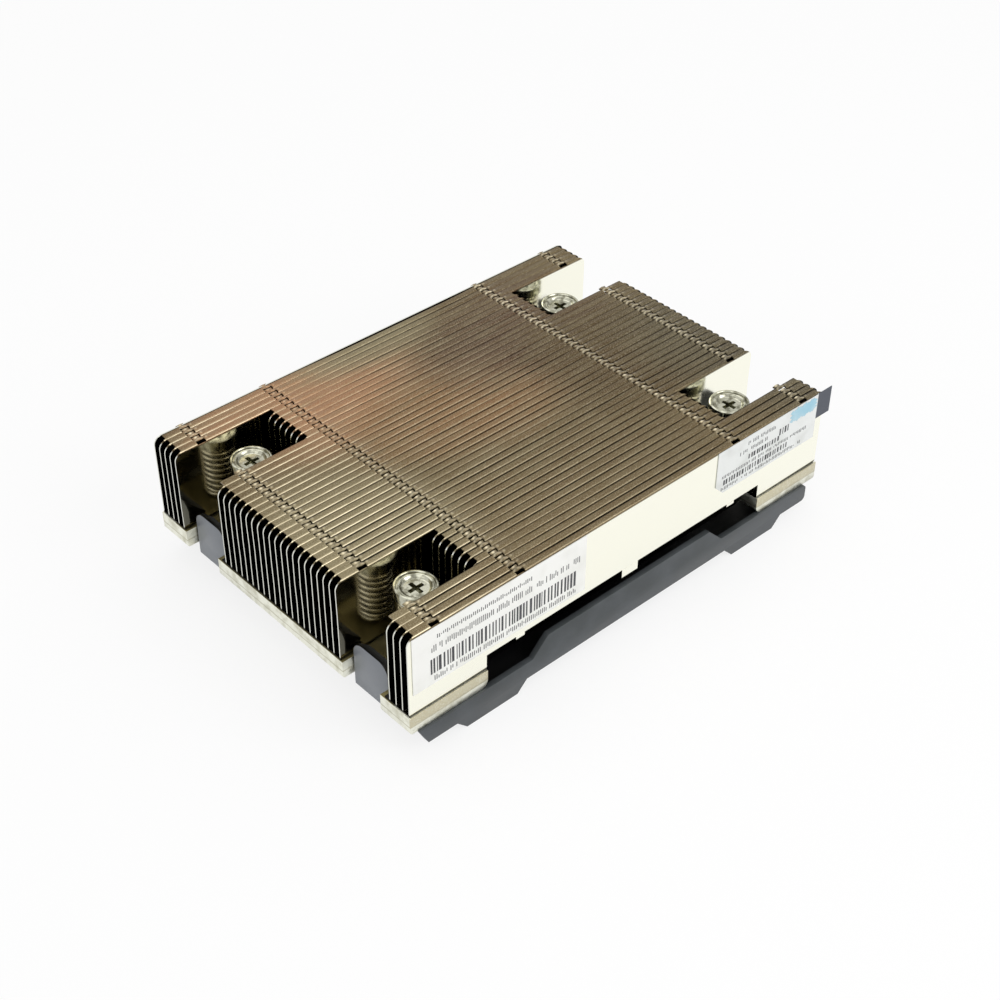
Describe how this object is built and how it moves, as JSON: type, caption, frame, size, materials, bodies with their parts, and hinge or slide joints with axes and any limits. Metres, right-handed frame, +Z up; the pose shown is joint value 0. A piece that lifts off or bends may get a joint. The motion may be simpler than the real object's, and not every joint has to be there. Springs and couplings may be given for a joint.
{
  "type": "passive server cpu heatsink",
  "caption": "Low passive heatsink: a stack of interlocked folded fins on an eared plate, with sprung screws in corner notches and a plastic cover under the contact face.",
  "frame": {"origin": "centre of the base plate's contact face, on the underside, which is also the middle of the four screws", "axes": "+X along the fins, the way the air blows through; +Y across the fin stack, away from the labelled side; +Z up from the contact face to the fins' tops"},
  "size_m": [0.1264, 0.088, 0.033],
  "materials": {
    "fin_plating": "warm grey nickel plating on folded sheet, with copper and olive clouding",
    "base_plating": "pale nickel plating with a mottled seam along the edges",
    "cover_plastic": "fine matt moulded plastic, dark blue-grey",
    "screw_plating": "bright nickel plating, turned",
    "clip_steel": "stamped spring steel",
    "spring_steel": "drawn spring wire, bright",
    "front_label_film": "white printed film, satin",
    "rear_label_film": "grey-white printed film with a dark tape end"
  },
  "bodies": {
    "root": {"fin_01": "fin_plating", "fin_02": "fin_plating", "fin_03": "fin_plating", "fin_04": "fin_plating", "fin_05": "fin_plating", "fin_06": "fin_plating", "fin_07": "fin_plating", "fin_08": "fin_plating", "fin_09": "fin_plating", "fin_10": "fin_plating", "fin_11": "fin_plating", "fin_12": "fin_plating", "fin_13": "fin_plating", "fin_14": "fin_plating", "fin_15": "fin_plating", "fin_16": "fin_plating", "fin_17": "fin_plating", "fin_18": "fin_plating", "fin_19": "fin_plating", "fin_20": "fin_plating", "fin_21": "fin_plating", "fin_22": "fin_plating", "fin_23": "fin_plating", "fin_24": "fin_plating", "fin_25": "fin_plating", "fin_26": "fin_plating", "fin_27": "fin_plating", "fin_28": "fin_plating", "fin_29": "fin_plating", "fin_30": "fin_plating", "fin_31": "fin_plating", "fin_32": "fin_plating", "fin_33": "fin_plating", "fin_34": "fin_plating", "fin_35": "fin_plating", "fin_36": "fin_plating", "fin_37": "fin_plating", "fin_38": "fin_plating", "fin_39": "fin_plating", "fin_40": "fin_plating", "fin_41": "fin_plating", "fin_42": "fin_plating", "fin_43": "fin_plating", "fin_44": "fin_plating", "base_plate": "base_plating", "protective_cover": "cover_plastic", "front_label": "front_label_film", "rear_label": "rear_label_film", "spring_1": "spring_steel", "spring_2": "spring_steel", "spring_3": "spring_steel", "spring_4": "spring_steel"},
    "press_1": {"retaining_clip_1": "clip_steel"},
    "turn_1": {"captive_screw_1": "screw_plating"},
    "press_2": {"retaining_clip_2": "clip_steel"},
    "turn_2": {"captive_screw_2": "screw_plating"},
    "press_3": {"retaining_clip_3": "clip_steel"},
    "turn_3": {"captive_screw_3": "screw_plating"},
    "press_4": {"retaining_clip_4": "clip_steel"},
    "turn_4": {"captive_screw_4": "screw_plating"}
  },
  "joints": [
    {"name": "screw_press_1", "type": "slide", "parent": "root", "child": "press_1", "axis": [0, 0, -1], "range_m": [0, 0.0035], "stiffness_N_per_m": 12000, "springref_m": -0.002, "deforming": ["spring_1"]},
    {"name": "screw_turn_1", "type": "hinge", "parent": "press_1", "child": "turn_1", "pos_m": [-0.047, 0.028, 0], "axis": [0, 0, 1], "continuous": true},
    {"name": "screw_press_2", "type": "slide", "parent": "root", "child": "press_2", "axis": [0, 0, -1], "range_m": [0, 0.0035], "stiffness_N_per_m": 12000, "springref_m": -0.002, "deforming": ["spring_2"]},
    {"name": "screw_turn_2", "type": "hinge", "parent": "press_2", "child": "turn_2", "pos_m": [-0.047, -0.028, 0], "axis": [0, 0, 1], "continuous": true},
    {"name": "screw_press_3", "type": "slide", "parent": "root", "child": "press_3", "axis": [0, 0, -1], "range_m": [0, 0.0035], "stiffness_N_per_m": 12000, "springref_m": -0.002, "deforming": ["spring_3"]},
    {"name": "screw_turn_3", "type": "hinge", "parent": "press_3", "child": "turn_3", "pos_m": [0.047, 0.028, 0], "axis": [0, 0, 1], "continuous": true},
    {"name": "screw_press_4", "type": "slide", "parent": "root", "child": "press_4", "axis": [0, 0, -1], "range_m": [0, 0.0035], "stiffness_N_per_m": 12000, "springref_m": -0.002, "deforming": ["spring_4"]},
    {"name": "screw_turn_4", "type": "hinge", "parent": "press_4", "child": "turn_4", "pos_m": [0.047, -0.028, 0], "axis": [0, 0, 1], "continuous": true}
  ]
}
